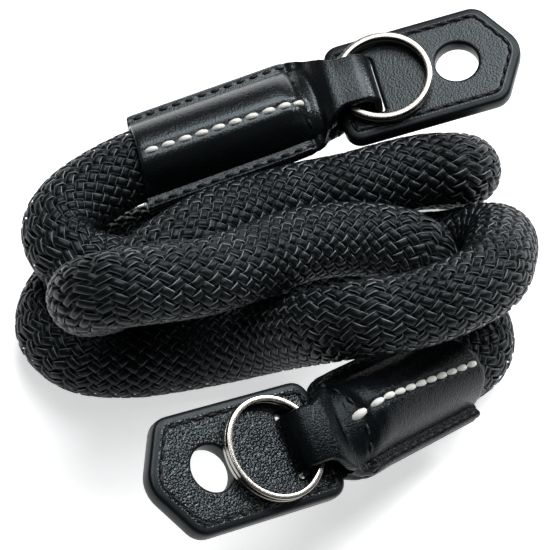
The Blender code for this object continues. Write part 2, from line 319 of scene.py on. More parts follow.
@dataclass(frozen=True)
class NylonFinish(Finish):
    """Black nylon of the rope: dark filaments along each strand, with a painted highlight along its
    edges.
    """

    name: str = "rope nylon"
    dark: Point = (0.0020, 0.0028, 0.0032)
    light: Point = (0.0070, 0.0088, 0.0098)
    # The colour of the painted highlight along the strands' edges
    wear_and_painted_highlight: Point = (0.30, 0.33, 0.36)
    roughness: float = 0.38
    gloss: float = 0.17
    filaments: float = 9.0
    filament_runs: float = 420.0
    patch_runs: float = 70.0
    rim_from: float = 0.66
    rim_rise: float = 3.4
    relief: float = 0.00007

    def shader(self, graph: Graph) -> Value:
        """Lay out the shader on the strands' own UV map.

        Args:
            graph: The material's tree.

        Returns:
            The shader.
        """
        uv = graph.node("ShaderNodeUVMap", {"uv_map": "UVMap"})
        fine = graph.vector("MULTIPLY", uv, (self.filament_runs, self.filaments, 1.0))
        grain = graph.noise(fine, 1.0, 3.0)
        patches = graph.noise(graph.vector("MULTIPLY", uv, (self.patch_runs, 0.6, 1.0)), 1.0)
        colour = graph.blend((patches * 0.7 + grain * 0.6 - 0.15).limited(0.0, 1.0),
                             self.dark, self.light)
        across = graph.node("ShaderNodeSeparateXYZ", {}, [uv], pick="Y")
        # Painted highlight: the edges are lightened to stand for the light they catch, more in some
        # patches than in others; worn only sets how strong it is in each patch
        rim = ((across * 2.0 - 1.0).maths("ABSOLUTE") - self.rim_from) * self.rim_rise
        worn = (patches * 2.2 - 0.5).limited(0.1, 1.0)
        wear_and_painted_highlight = graph.vector("SCALE", self.wear_and_painted_highlight, rim.limited(0.0, 1.0) * worn)
        return graph.principled(
            graph.vector("ADD", colour, wear_and_painted_highlight), patches * 0.16 + (self.roughness - 0.08),
            {"Normal": graph.bump(grain, self.relief, 0.6), "Specular IOR Level": self.gloss,
             "Specular Tint": COOL})


@dataclass(frozen=True)
class CoreFinish(Finish):
    """The dark inside of the braid, seen only between the strands."""

    name: str = "rope core"
    dark: Point = (0.004, 0.0047, 0.005)
    light: Point = (0.009, 0.0105, 0.0112)
    fuzz: float = 2600.0

    def shader(self, graph: Graph) -> Value:
        """Lay out the shader in the material's tree."""
        fuzz = graph.noise(graph.place(), self.fuzz)
        return graph.principled(graph.blend(fuzz, self.dark, self.light), 0.8, {})


@dataclass(frozen=True)
class LeatherFinish(Finish):
    """Black grained leather with rubbed high spots."""

    pebble: float
    pebble_size: float
    relief: float
    dark: Point = (0.0022, 0.0031, 0.0038)
    wear_and_painted_highlight: Point = (0.0080, 0.0098, 0.0110)
    roughness: float = 0.3
    gloss: float = 0.36
    pore_scale: float = 2600.0
    broad_scale: float = 170.0
    wander: float = 0.7

    def shader(self, graph: Graph) -> Value:
        """Lay out the shader: pebbles with wandering borders, fine pores and broad handling.

        Args:
            graph: The material's tree.

        Returns:
            The shader.
        """
        place = graph.place()
        drift = graph.noise(place, 0.6 / self.pebble_size).other("Color")
        bent = graph.vector("ADD", place,
                            graph.vector("SCALE", drift, self.pebble_size * self.wander))
        cells = graph.node("ShaderNodeTexVoronoi", {"feature": "SMOOTH_F1"}, {
            "Vector": bent, "Scale": 1.0 / self.pebble_size, "Smoothness": 0.25})
        pores = graph.noise(place, self.pore_scale, 4.0, roughness=0.6)
        broad = graph.noise(place, self.broad_scale, 3.0)
        pebbles = (1.0 - cells * 1.3).limited(0.0, 1.0)
        height = pebbles * self.pebble + pores * (0.9 - 0.6 * self.pebble) + broad * 0.5
        # Handling rubs the pebbles' tops and broad patches lighter and smoother
        rub = (pebbles * self.pebble * 0.6 + broad * 1.4 - 0.6).limited(0.0, 1.0)
        return graph.principled(
            graph.blend(rub, self.dark, self.wear_and_painted_highlight),
            self.roughness + 0.1 - rub * 0.08 - pores * 0.12,
            {"Normal": graph.bump(height, self.relief), "Specular IOR Level": self.gloss,
             "Specular Tint": COOL})


@dataclass(frozen=True)
class ThreadFinish(Finish):
    """Twisted sewing thread."""

    dark: Point
    light: Point
    roughness: float = 0.62
    gloss: float = 0.4
    ply_scale: float = 3200.0
    relief: float = 0.00012

    def shader(self, graph: Graph) -> Value:
        """Lay out the shader.

        Args:
            graph: The material's tree.

        Returns:
            The shader.
        """
        plies = graph.noise(graph.place(), self.ply_scale, 3.0, distortion=0.6)
        return graph.principled(
            graph.blend(plies, self.dark, self.light), plies * 0.15 + (self.roughness - 0.08),
            {"Normal": graph.bump(plies, self.relief, 0.7), "Specular IOR Level": self.gloss})


@dataclass(frozen=True)
class NickelFinish(Finish):
    """Polished nickel plate with fine handling marks."""

    name: str = "ring nickel"
    bright: Point = (0.34, 0.325, 0.297)
    dull: Point = (0.31, 0.30, 0.275)
    roughness: float = 0.2
    mark_scale: float = 900.0
    relief: float = 0.00001

    def shader(self, graph: Graph) -> Value:
        """Lay out the shader.

        Args:
            graph: The material's tree.

        Returns:
            The shader.
        """
        drawn = graph.vector("MULTIPLY", graph.place(), (1.0, 1.0, 5.0))
        marks = graph.noise(drawn, self.mark_scale, 5.0, roughness=0.7)
        return graph.principled(
            graph.blend(marks, self.dull, self.bright), marks * 0.08 + (self.roughness - 0.04),
            {"Metallic": 1.0, "Normal": graph.bump(marks, self.relief, 0.1)})


@dataclass(frozen=True)
class FloorFinish(Finish):
    """The plain pale floor."""

    name: str = "pale floor"
    shade: Point = (0.9, 0.905, 0.91)
    glow: float = 0.67

    def shader(self, graph: Graph) -> Value:
        """Lay out the shader.

        Args:
            graph: The material's tree.

        Returns:
            The shader.
        """
        shade = (*self.shade, 1.0)
        return graph.principled(shade, 0.7, {"Emission Color": shade,
                                             "Emission Strength": self.glow})


def add_object(name: str, data: bpy.types.ID) -> bpy.types.Object:
    """Put an object in the scene, at the origin.

    Args:
        name: Its name.
        data: Its mesh, curve, camera or light.

    Returns:
        The object.
    """
    made = bpy.data.objects.new(name, data)
    bpy.context.scene.collection.objects.link(made)
    return made


def finish_bmesh(name: str, bm: bmesh.types.BMesh,
                 *materials: bpy.types.Material) -> bpy.types.Object:
    """Turn a bmesh into a smooth piece with its faces pointing out.

    Args:
        name: The piece's name.
        bm: The bmesh, used up here.
        materials: The piece's materials.

    Returns:
        The piece.
    """
    bmesh.ops.recalc_face_normals(bm, faces=bm.faces)
    mesh = bpy.data.meshes.new(name)
    bm.to_mesh(mesh)
    bm.free()
    mesh.shade_smooth()
    mesh.set_sharp_from_angle(angle=SMOOTH_BELOW)
    for material in materials:
        mesh.materials.append(material)
    return add_object(name, mesh)


def loft(bm: bmesh.types.BMesh, rings: Sequence[Sequence[Vector]], capped: bool = True) -> None:
    """Join closed rings of points into one skin.

    Args:
        bm: Where the skin goes.
        rings: The rings, each with as many points as the others.
        capped: Whether the two ends are closed.
    """
    rows = [[bm.verts.new(point) for point in ring] for ring in rings]
    count = len(rows[0])
    for row, following in zip(rows, rows[1:]):
        for i in range(count):
            j = (i + 1) % count
            bm.faces.new((row[i], row[j], following[j], following[i]))
    if capped:
        bm.faces.new(rows[0])
        bm.faces.new(list(reversed(rows[-1])))


def smooth_step(x: float) -> float:
    """Ease from 0 to 1, flat at both ends."""
    kept = min(max(x, 0.0), 1.0)
    return kept * kept * (3.0 - 2.0 * kept)


def along_table(table: Sequence[tuple[float, float]], x: float) -> float:
    """Read a value from a table of places and values, with straight lines between them.

    Args:
        table: Rising places and their values.
        x: The place.

    Returns:
        The value there.
    """
    for (a, low), (b, high) in zip(table, table[1:]):
        if x <= b:
            share = min(max((x - a) / (b - a), 0.0), 1.0)
            return low + (high - low) * share
    return table[-1][1]


def dent(gap: float, width: float) -> float:
    """How deep a groove is a gap away from its bottom line, as a share of its depth."""
    return exp(-(gap / width) ** 2)


def smooth_max(a: float, b: float, softness: float) -> float:
    """The larger of two numbers, rounded within a softness of where they meet."""
    share = max(softness - abs(a - b), 0.0) / softness
    return max(a, b) + share * share * softness / 4.0


def rounded_outline(corners: Sequence[tuple[float, float]], radii: Sequence[float],
                    steps: int) -> Outline:
    """A closed outline of straight sides with each corner rounded by an arc.

    Args:
        corners: The sharp corners.
        radii: Each corner's radius.
        steps: The arc's steps at each corner.

    Returns:
        The outline's points.
    """
    count = len(corners)
    outline = []
    for i, (corner, radius) in enumerate(zip(corners, radii)):
        here = Vector(corner)
        before = (Vector(corners[i - 1]) - here).normalized()
        after = (Vector(corners[(i + 1) % count]) - here).normalized()
        half = before.angle(after) / 2
        centre = here + (before + after).normalized() * (radius / sin(half))
        first = here + before * (radius * cos(half) / sin(half)) - centre
        last = here + after * (radius * cos(half) / sin(half)) - centre
        start = atan2(first.y, first.x)
        sweep = (atan2(last.y, last.x) - start + pi) % (2 * pi) - pi
        for k in range(steps + 1):
            turn = start + sweep * k / steps
            outline.append((centre.x + radius * cos(turn), centre.y + radius * sin(turn)))
    return outline


def rounded_box(low: Point, high: Point, radius: float, steps: int) -> Outline:
    """The outline of a box from its lowest to its highest corner, with rounded corners."""
    corners = (low, (high[0], low[1]), high, (low[0], high[1]))
    return rounded_outline(corners, (radius,) * 4, steps)


def spaced(points: Sequence[Vector], step: float, rounded: Callable[[float], int]) -> list[Vector]:
    """Points at equal distances along a run of points.

    Args:
        points: The run.
        step: About how long a step is.
        rounded: How the number of steps is made whole.

    Returns:
        The even points, with both ends.
    """
    lengths = [0.0]
    for before, after in zip(points, points[1:]):
        lengths.append(lengths[-1] + (after - before).length)
    count = rounded(lengths[-1] / step)
    even = []
    at = 0
    for k in range(count + 1):
        wanted = lengths[-1] * k / count
        while at < len(points) - 2 and lengths[at + 1] < wanted:
            at += 1
        share = (wanted - lengths[at]) / max(lengths[at + 1] - lengths[at], 1e-9)
        even.append(points[at].lerp(points[at + 1], share))
    return even


def evenly(outline: Outline, step: float) -> Outline:
    """Walk once round a closed outline in even steps of about the given length."""
    closed = [Vector(point) for point in (*outline, outline[0])]
    return [(spot.x, spot.y) for spot in spaced(closed, step, round)[:-1]]


def inset_outline(outline: Outline, inset: float) -> Outline:
    """Move a closed anticlockwise outline inwards, or outwards where the inset is negative.

    Args:
        outline: The outline.
        inset: How far in.

    Returns:
        The moved outline.
    """
    count = len(outline)
    moved = []
    for i, (x, y) in enumerate(outline):
        before = Vector(outline[i - 1])
        after = Vector(outline[(i + 1) % count])
        run = (after - before).normalized()
        moved.append((x - run.y * inset, y + run.x * inset))
    return moved


def curve_through(points: Sequence[Vector], step: float) -> list[Vector]:
    """Evenly spaced points on the smooth curve through the given points.

    Args:
        points: The points it passes through.
        step: About how long a step is.

    Returns:
        The even points.
    """
    padded = [points[0] * 2 - points[1], *points, points[-1] * 2 - points[-2]]
    fine = []
    pieces = 16
    for a, b, c, d in zip(padded, padded[1:], padded[2:], padded[3:]):
        for k in range(pieces):
            t = k / pieces
            fine.append(
                0.5 * (2 * b + (c - a) * t + (2 * a - 5 * b + 4 * c - d) * t**2
                       + (3 * b - a - 3 * c + d) * t**3))
    return spaced([*fine, points[-1]], step, ceil)


def attitude(heading: float, pitch: float, roll: float) -> Matrix:
    """The rotation whose X runs along the leather and whose Z is its front.

    Args:
        heading: Degrees round from +X.
        pitch: Degrees up.
        roll: Degrees that the front turns towards -Y.

    Returns:
        The rotation.
    """
    along = Vector((cos(radians(pitch)) * cos(radians(heading)),
                    cos(radians(pitch)) * sin(radians(heading)), sin(radians(pitch))))
    across = Vector((0, 0, 1)).cross(along).normalized()
    front = along.cross(across)
    turn = radians(roll) if across.y > 0 else -radians(roll)
    return Matrix((along, across, front)).transposed() @ Matrix.Rotation(turn, 3, "X")


@dataclass
class Stitch:
    """One stitch: its middle, which way it runs, what it stands on and its share of full size."""

    middle: Vector
    along: Vector
    up: Vector
    share: float = 1.0


@dataclass
class Sewing:
    """Rows of stitches of one thread, set out by Geometry Nodes."""

    name: str
    length: float
    thickness: float
    stitches: list[Stitch]
    # How an arch stands and swells, as shares of its thickness, and how many facets it has
    sink: float = 0.55
    rise: float = 0.8
    swelling: float = 0.45
    facets: int = 8

    def tree(self) -> Nodes:
        """Build the tree that puts a stitch on each point of its host.

        Returns:
            The tree.
        """
        nodes = Nodes("stitches", {"Length": "Float", "Thickness": "Float", "Thread": "Material"})
        half = nodes.given("Length") * 0.5
        thick = nodes.given("Thickness")
        start = nodes.node("ShaderNodeCombineXYZ", {}, [half * -1.0, 0.0, thick * -self.sink])
        middle = nodes.node("ShaderNodeCombineXYZ", {}, [0.0, 0.0, thick * self.rise])
        end = nodes.node("ShaderNodeCombineXYZ", {}, [half, 0.0, thick * -self.sink])
        arch = nodes.node("GeometryNodeCurveQuadraticBezier", {}, [self.facets, start, middle, end])
        share = nodes.node("GeometryNodeSplineParameter")
        swell = (share * pi).maths("SINE") * self.swelling + (1 - self.swelling)
        shaped = nodes.node("GeometryNodeSetCurveRadius", {}, {"Curve": arch, "Radius": swell})
        ring = nodes.node("GeometryNodeCurvePrimitiveCircle", {}, {
            "Resolution": self.facets, "Radius": thick * 0.5})
        thread = nodes.node("GeometryNodeCurveToMesh", {}, {
            "Curve": shaped, "Profile Curve": ring, "Scale": swell, "Fill Caps": True})
        along = self.attribute(nodes, "along", "FLOAT_VECTOR")
        up = self.attribute(nodes, "up", "FLOAT_VECTOR")
        size = self.attribute(nodes, "share", "FLOAT")
        first = nodes.node("FunctionNodeAlignRotationToVector", {"axis": "X"}, {"Vector": along})
        turned = nodes.node("FunctionNodeAlignRotationToVector",
                            {"axis": "Z", "pivot_axis": "X"}, {"Rotation": first, "Vector": up})
        placed = nodes.node("GeometryNodeInstanceOnPoints", {}, {
            "Points": nodes.given("Geometry"), "Instance": thread, "Rotation": turned,
            "Scale": nodes.node("ShaderNodeCombineXYZ", {}, [size, size, size])})
        real = nodes.node("GeometryNodeRealizeInstances", {}, [placed])
        smooth = nodes.node("GeometryNodeSetShadeSmooth", {}, [real])
        nodes.close(nodes.node("GeometryNodeSetMaterial", {}, {
            "Geometry": smooth, "Material": nodes.given("Thread")}))
        return nodes

    @staticmethod
    def attribute(nodes: Nodes, name: str, kind: str) -> Value:
        """Read one of the host's attributes, by its name and data type."""
        return nodes.node("GeometryNodeInputNamedAttribute", {"data_type": kind}, [name],
                          pick="Attribute")

    def build(self, thread: bpy.types.Material) -> bpy.types.Object:
        """Sew the rows.

        Args:
            thread: The thread's material.

        Returns:
            The piece.
        """
        mesh = bpy.data.meshes.new(self.name)
        mesh.from_pydata([stitch.middle for stitch in self.stitches], [], [])
        for label, kind, key in (("along", "FLOAT_VECTOR", "vector"),
                                 ("up", "FLOAT_VECTOR", "vector"), ("share", "FLOAT", "value")):
            layer = mesh.attributes.new(label, kind, "POINT")
            for datum, stitch in zip(layer.data, self.stitches):
                setattr(datum, key, getattr(stitch, label))
        host = add_object(f"{self.name} spots", mesh)
        piece = self.tree().run(host, self.name, {
            "Length": self.length, "Thickness": self.thickness, "Thread": thread})
        return settle(piece, Slot.LEATHER)


def settle(piece: bpy.types.Object, slot: Slot, *nodes: str) -> bpy.types.Object:
    """Let a finished piece ride and stand for the solids it replaces.

    Args:
        piece: The piece.
        slot: The material slot of its finish; not used.
        nodes: The solids it replaces.

    Returns:
        The piece.
    """
    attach(piece, Body.ROOT.value)
    if nodes:
        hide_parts(*nodes)
    faces = len(piece.data.polygons) if piece.type == "MESH" else 0
    log.info("%s: %d faces", piece.name, faces)
    return piece


@dataclass
class LeatherEnd:
    """A sleeve that grips the rope's end, its looped tab, its split ring and its pad."""

    name: str
    mouth: Point
    heading: float
    pitch: float
    roll: float
    tab: float
    pad_heading: float
    pad_pitch: float
    pad_roll: float
    ring: float
    # Where the white row runs, how its last stitch is knotted and how the mouth is cut
    knot: float = 1.0
    slant: float = 0.0
    crest_from: float = 0.0
    crest_to: float = 0.0
    crest_start: float = 0.0004
    crest_end: float = 0.95
    # The sleeve
    leather: float = 0.0013
    fit: float = 0.0003
    sleeve_len: float = 0.0265
    flange: float = 0.0008
    pocket_wall: float = 0.004
    pocket_depth: float = 0.006
    shoulder_len: float = 0.0022
    body_half_w: float = 0.0061
    layer: float = 0.00095
    skew: float = 0.7
    dome_softness: float = 0.0018
    edge_w: float = 0.0003
    crest_step: float = 0.00031
    section_step: float = 0.0007
    fine_step: float = 0.00028
    fine_from: float = 0.84
    pocket_slack: float = 0.0002
    # The tab, which flares and dips at the neck
    tab_w: float = 0.0082
    tab_run: float = 0.0087
    tab_crown: float = 0.0003
    tab_corner: float = 0.3
    loop_curl: float = 0.55
    flare: float = 0.0021
    flare_back: float = 0.001
    flare_run: float = 0.0045
    dip: float = 0.0013
    dip_back: float = 0.0012
    dip_run: float = 0.0034
    # The pad
    pad_len: float = 0.030
    pad_w: float = 0.0172
    pad_t: float = 0.0026
    pad_point: float = 0.005
    pad_radii: Point = (0.0025, 0.003, 0.0045, 0.003, 0.0025)
    outline_step: float = 0.0006
    bridge: float = 0.0047
    slot_l: float = 0.0022
    slot_w: float = 0.0096
    hole_d: float = 0.0066
    hole_from_tip: float = 0.0106
    # The split ring and the room that the loop leaves for it
    ring_d: float = 0.015
    wire_w: float = 0.00098
    wire_t: float = 0.0009
    coil_gap: float = 0.00008
    wire_corner: float = 0.2
    ring_turns: float = 1.94
    climb_rate: float = 6.0
    ring_room: float = 0.00188
    # The sewn rows and the grooves that they pull
    white_len: float = 0.0021
    white_t: float = 0.00094
    white_pitch: float = 0.0024
    white_groove: float = 0.00025
    black_len: float = 0.0017
    black_t: float = 0.00056
    black_pitch: float = 0.0022
    row_inset: float = 0.0009
    row_from: float = 0.0006
    row_to: float = 0.97
    row_groove: float = 0.00016
    row_groove_w: float = 0.00035
    cross_row: float = 0.955
    cross_groove: float = 0.00045
    groove_w: float = 0.0006
    pad_row_inset: float = 0.0016
    pad_row_w: float = 0.0003
    pad_row_groove: float = 0.0002
    pad_stitch_t: float = 0.00058
    pad_stitch_sink: float = 0.0001

    @property
    def half_w(self) -> float:
        """Half the sleeve's width with its sewn edges."""
        return ROPE_D / 2 + self.fit + self.leather + self.flange

    @property
    def neck(self) -> float:
        """Where the tab starts, from the mouth."""
        return self.sleeve_len + self.shoulder_len

    @property
    def loop_half(self) -> float:
        """Half the height of the loop's opening."""
        return (self.pad_t + self.ring_room + 3 * self.fit) / 2

    @property
    def fold(self) -> float:
        """Where the tab's loop ends, from the neck."""
        return self.tab * self.tab_run

    @property
    def pad_from(self) -> float:
        """Where the pad starts, from the neck."""
        return self.fold - self.leather - 2 * self.fit - self.bridge

    @property
    def pad_mid(self) -> float:
        """How far in front of the neck the middle of the pad lies."""
        return self.fit + self.pad_t / 2 - self.loop_half

    def sleeve_frame(self) -> Matrix:
        """Placement of the sleeve, at its mouth.

        Returns:
            The placement.
        """
        spot = Vector((self.mouth[0] * COIL_HALF, self.mouth[1] * ROPE_D, self.mouth[2] * ROPE_D))
        turn = attitude(self.heading, self.pitch, self.roll).to_4x4()
        return Matrix.Translation(spot + PLACE) @ turn

    def tab_frame(self) -> Matrix:
        """Placement of the tab, ring and pad, at the neck.

        Returns:
            The placement.
        """
        neck = self.sleeve_frame() @ Vector((self.neck, 0, 0))
        turn = attitude(self.pad_heading, self.pad_pitch, self.pad_roll).to_4x4()
        return Matrix.Translation(neck) @ turn

    def bent_frame(self, share: float) -> Matrix:
        """Placement at the neck, turned part of the way from the sleeve to the tab.

        Args:
            share: How much of the way.

        Returns:
            The placement.
        """
        first = self.sleeve_frame().to_quaternion()
        tab = self.tab_frame()
        turn = first.slerp(tab.to_quaternion(), share).to_matrix().to_4x4()
        return Matrix.Translation(tab.translation) @ turn

    def rope_ends(self) -> list[Vector]:
        """Three points of the rope inside the sleeve, deepest first.

        Returns:
            The points.
        """
        deepest = self.sleeve_len - self.pocket_wall - 2 * self.fit
        place = self.sleeve_frame()
        return [place @ Vector((deepest * share, 0, 0)) for share in (1.0, 0.5, 0.0)]

    def half_width(self, s: float) -> float:
        """Half the leather's width.

        Args:
            s: How far from the mouth.

        Returns:
            The half width there.
        """
        if s <= self.sleeve_len:
            return self.half_w * along_table(WIDTHS, s / self.sleeve_len)
        gone = min((s - self.sleeve_len) / self.shoulder_len, 1.0)
        waist = self.tab_half(s - self.neck)
        return waist + (WIDTHS[-1][1] * self.half_w - waist) * (1 + cos(pi * gone)) / 2

    def tab_half(self, s: float) -> float:
        """Half the tab's width, s from the neck: it flares where it meets the shoulders."""
        gone = smooth_step((s + self.flare_back) / self.flare_run)
        return self.tab_w / 2 + self.flare * (1 - gone)

    def bend(self, s: float) -> float:
        """How far the leather has turned from the sleeve's way to the tab's, s from the mouth."""
        return along_table((*BENDS, (self.neck / self.sleeve_len, 1.0)), s / self.sleeve_len)

    def half_height(self, s: float, w: float) -> float:
        """Half the leather's thickness: a dome over the rope, flat sewn edges and grooves.

        Args:
            s: How far from the mouth.
            w: How far from the middle line.

        Returns:
            The half thickness there.
        """
        share = s / self.sleeve_len
        out = self.half_width(s)
        body = self.body_half_w * out / self.half_w
        lean = self.skew * self.crest(s) / body * max(1.0 - (w / body) ** 2, 0.0)
        dome = along_table(DOMES, share) * sqrt(max(1.0 - (w / body - lean) ** 2, 0.0))
        height = smooth_max(dome, self.layer, self.dome_softness)
        height -= self.row_groove * dent(abs(w) - (out - self.row_inset), self.row_groove_w)
        fade = smooth_step((1.0 - share) * 30)
        height -= self.white_groove * fade * dent(w - self.crest(s), self.groove_w)
        height -= self.cross_groove * dent(s - self.cross_row * self.sleeve_len, self.groove_w)
        tabbed = smooth_step((s - self.sleeve_len) / self.shoulder_len)
        return height + (self.tab_height(s - self.neck, w) - height) * tabbed

    def crest(self, s: float) -> float:
        """How far the white row lies from the middle line, s from the mouth."""
        return self.crest_from + (self.crest_to - self.crest_from) * min(s / self.sleeve_len, 1.0)

    def cut_back(self, s: float, w: float) -> float:
        """How far the leather at s and w is shifted by the slanted cut of the mouth."""
        return self.slant * (w / self.half_w - 1) / 2 * max(1 - s / self.sleeve_len, 0.0)

    def on_surface(self, s: float, w: float, face: Face) -> Vector:
        """The point of the sleeve's skin at s and w, on its front or its back."""
        spot = (s - self.neck + self.cut_back(s, w), w, self.half_height(s, w) * face.value)
        return self.bent_frame(self.bend(s)) @ Vector(spot)

    def section(self, s: float) -> list[Vector]:
        """One closed cross-section of the sleeve: two layers that meet in a sewn edge.

        Args:
            s: How far from the mouth.

        Returns:
            Its points.
        """
        out = self.half_width(s)
        inner = out - self.edge_w
        lip = self.half_height(s, inner)
        top = [(inset - out, lip * share) for inset, share in SIDE]
        top += [(w, self.half_height(s, w)) for w in self.across(inner)]
        top += [(out - inset, lip * share) for inset, share in reversed(SIDE)]
        place = self.bent_frame(self.bend(s))
        outline = top + [(w, -h) for w, h in reversed(top)]
        return [place @ Vector((s - self.neck + self.cut_back(s, w), w, h)) for w, h in outline]

    def across(self, half: float) -> list[float]:
        """Places across the leather, close together at its edges and under the white row.

        Args:
            half: Half the width.

        Returns:
            The places, from one edge to the other.
        """
        steps = 30
        places = [-half * cos(pi * k / steps) for k in range(steps + 1)]
        middle = (self.crest_from + self.crest_to) / 2
        return sorted(places + [middle + self.crest_step * k for k in range(-5, 6)])

    def pocket(self, s: float, shape: Sequence[Vector]) -> list[Vector]:
        """The pocket's own cross-section, point for point with the sleeve's.

        Args:
            s: How far from the mouth.
            shape: The sleeve's cross-section at its mouth.

        Returns:
            Its points.
        """
        place = self.sleeve_frame()
        back = place.inverted()
        radius = ROPE_D / 2 + self.pocket_slack
        points = []
        for point in shape:
            flat = back @ point
            w = flat.y
            height = sqrt(max(radius * radius - w * w, 0.0)) + 0.00003
            at = s + self.cut_back(s, w)
            points.append(place @ Vector((at, w, height if flat.z > 0 else -height)))
        return points

    def make_sleeve(self, material: bpy.types.Material) -> bpy.types.Object:
        """Build the sleeve and its shoulders.

        Args:
            material: The leather.

        Returns:
            The piece.
        """
        stop = self.neck + self.pad_from - 2 * self.fit
        places = [0.0001, 0.0003, 0.0006]
        at = 0.0012
        while at < stop - 0.0004:
            places.append(at)
            coarse = at < self.fine_from * self.sleeve_len
            at += self.section_step if coarse else self.fine_step
        places.append(stop)
        mouth = self.section(0.0)
        bm = bmesh.new()
        loft(bm, [self.pocket(self.pocket_depth, mouth), self.pocket(0.0001, mouth),
                  self.shrink(mouth, 0.00018), *(self.section(s) for s in places)])
        return settle(finish_bmesh(f"{self.name}_sleeve_leather", bm, material),
                      Slot.LEATHER, f"{self.name}_sleeve")

    @staticmethod
    def shrink(ring: Sequence[Vector], amount: float) -> list[Vector]:
        """Draw a ring of points in towards its middle by a small amount."""
        middle = sum(ring, Vector()) / len(ring)
        return [point + (middle - point).normalized() * amount for point in ring]

    def make_tab(self, material: bpy.types.Material) -> bpy.types.Object:
        """Build the looped tab: one band of leather from the neck, round the fold and back.

        Args:
            material: The leather.

        Returns:
            The piece.
        """
        thick = self.leather / 2
        middle = self.loop_half + thick
        start = self.pad_from - 2 * self.fit - 0.0002
        end = self.fold - thick
        curl = self.loop_half * self.loop_curl + thick
        corners = ((start, -middle), (end, -middle), (end, middle), (start, middle))
        arc = 10
        outline = rounded_outline(corners, (0.0001, curl, curl, 0.0001), arc)
        count = 12
        runs = [start + (end - curl - start) / count * k for k in range(count)]
        path = [(s, -middle) for s in runs] + outline[arc + 1:3 * (arc + 1)]
        path += [(s, middle) for s in reversed(runs)]
        path = [(s, n * (self.tab_height(s, self.tab_w / 2) - thick) / middle) for s, n in path]
        place = self.tab_frame()
        rings = []
        for before, (s, n), after in zip([path[0], *path], path, [*path[1:], path[-1]]):
            run = (Vector(after) - Vector(before)).normalized()
            half = self.tab_half(s)
            section = rounded_box((-half, -thick), (half, thick), self.tab_corner * self.leather, 4)
            ring = []
            for w, t in section:
                out = t + self.tab_crown * (1 - (w / half) ** 2)
                ring.append(place @ Vector((s + run.y * out, w, n - run.x * out)))
            rings.append(ring)
        bm = bmesh.new()
        loft(bm, rings)
        return settle(finish_bmesh(f"{self.name}_tab_leather", bm, material), Slot.LEATHER)

    def tab_height(self, s: float, w: float) -> float:
        """How high the tab's outer face stands over the middle: it dips at the neck, then arches.

        Args:
            s: How far from the neck.
            w: How far from the middle line.

        Returns:
            The height.
        """
        rise = smooth_step((s + self.dip_back) / self.dip_run)
        crown = self.tab_crown * (1 - (2 * w / self.tab_w) ** 2)
        return self.loop_half + self.leather - self.dip * (1 - rise) + crown

    def pad_outline(self) -> Outline:
        """The pad's outline: square at the ring's end, a blunt point at the other.

        Returns:
            The outline.
        """
        half = self.pad_w / 2
        start = self.pad_from
        tip = start + self.pad_len
        shoulder = tip - self.pad_point
        corners = ((start, -half), (shoulder, -half), (tip, 0), (shoulder, half), (start, half))
        return evenly(rounded_outline(corners, self.pad_radii, 10), self.outline_step)

    def slot_outline(self) -> Outline:
        """The slot that the tab comes down through.

        Returns:
            The outline.
        """
        near = self.fold - self.leather - 2 * self.fit
        half = self.slot_w / 2
        return rounded_box((near, -half), (near + self.slot_l, half), self.slot_l / 4, 5)

    def hole_outline(self) -> Outline:
        """The round hole through the pad.

        Returns:
            The outline.
        """
        centre = self.pad_from + self.pad_len - self.hole_from_tip
        radius = self.hole_d / 2
        steps = 64
        turns = [2 * pi * k / steps for k in range(steps)]
        return [(centre + radius * cos(turn), radius * sin(turn)) for turn in turns]

    def make_pad(self, material: bpy.types.Material,
                 rim_material: bpy.types.Material) -> bpy.types.Object:
        """Build the pad with its rounded rims, its sewn groove, its slot and its hole.

        Args:
            material: The leather of its faces.
            rim_material: The smooth leather of its rims.

        Returns:
            The piece.
        """
        half = self.pad_t / 2
        place = self.tab_frame()
        row = self.pad_row_inset
        wide = self.pad_row_w
        rim = ((row + 2 * wide, 0.0), (row + wide, 0.0), (row, self.pad_row_groove),
               (row - wide, 0.0), *RIM)
        bm = bmesh.new()
        top = []
        low = []
        # Each outline, its profile, how many bands of it are grained and how its middle bulges
        for outline, profile, grained, bulge in ((self.pad_outline(), rim, 4, -0.00004),
                                                 (self.slot_outline(), CUT_RIM, 1, 0.00004),
                                                 (self.hole_outline(), CUT_RIM, 1, 0.00004)):
            levels = [(inset, half - drop) for inset, drop in profile]
            levels = [*levels, (bulge, 0.0), *((inset, -n) for inset, n in reversed(levels))]
            rings = [[place @ Vector((s, w, self.pad_mid + n))
                      for s, w in inset_outline(outline, inset)] for inset, n in levels]
            count = len(outline)
            bands = len(rings) - 1
            first = len(bm.verts)
            made = len(bm.faces)
            loft(bm, rings, capped=False)
            bm.verts.ensure_lookup_table()
            bm.faces.ensure_lookup_table()
            for face in bm.faces[made + grained * count:made + (bands - grained) * count]:
                face.material_index = 1
            top += self.ring_edges(bm, first, count)
            low += self.ring_edges(bm, first + count * bands, count)
        for edges in (top, low):
            bmesh.ops.triangle_fill(bm, use_beauty=True, edges=edges)
        return settle(finish_bmesh(f"{self.name}_pad_leather", bm, material, rim_material),
                      Slot.LEATHER, f"{self.name}_pad")

    @staticmethod
    def ring_edges(bm: bmesh.types.BMesh, first: int, count: int) -> list[bmesh.types.BMEdge]:
        """The edges of a loft's ring, from its first point and its number of points."""
        return [bm.edges.get((bm.verts[first + i], bm.verts[first + (i + 1) % count]))
                for i in range(count)]

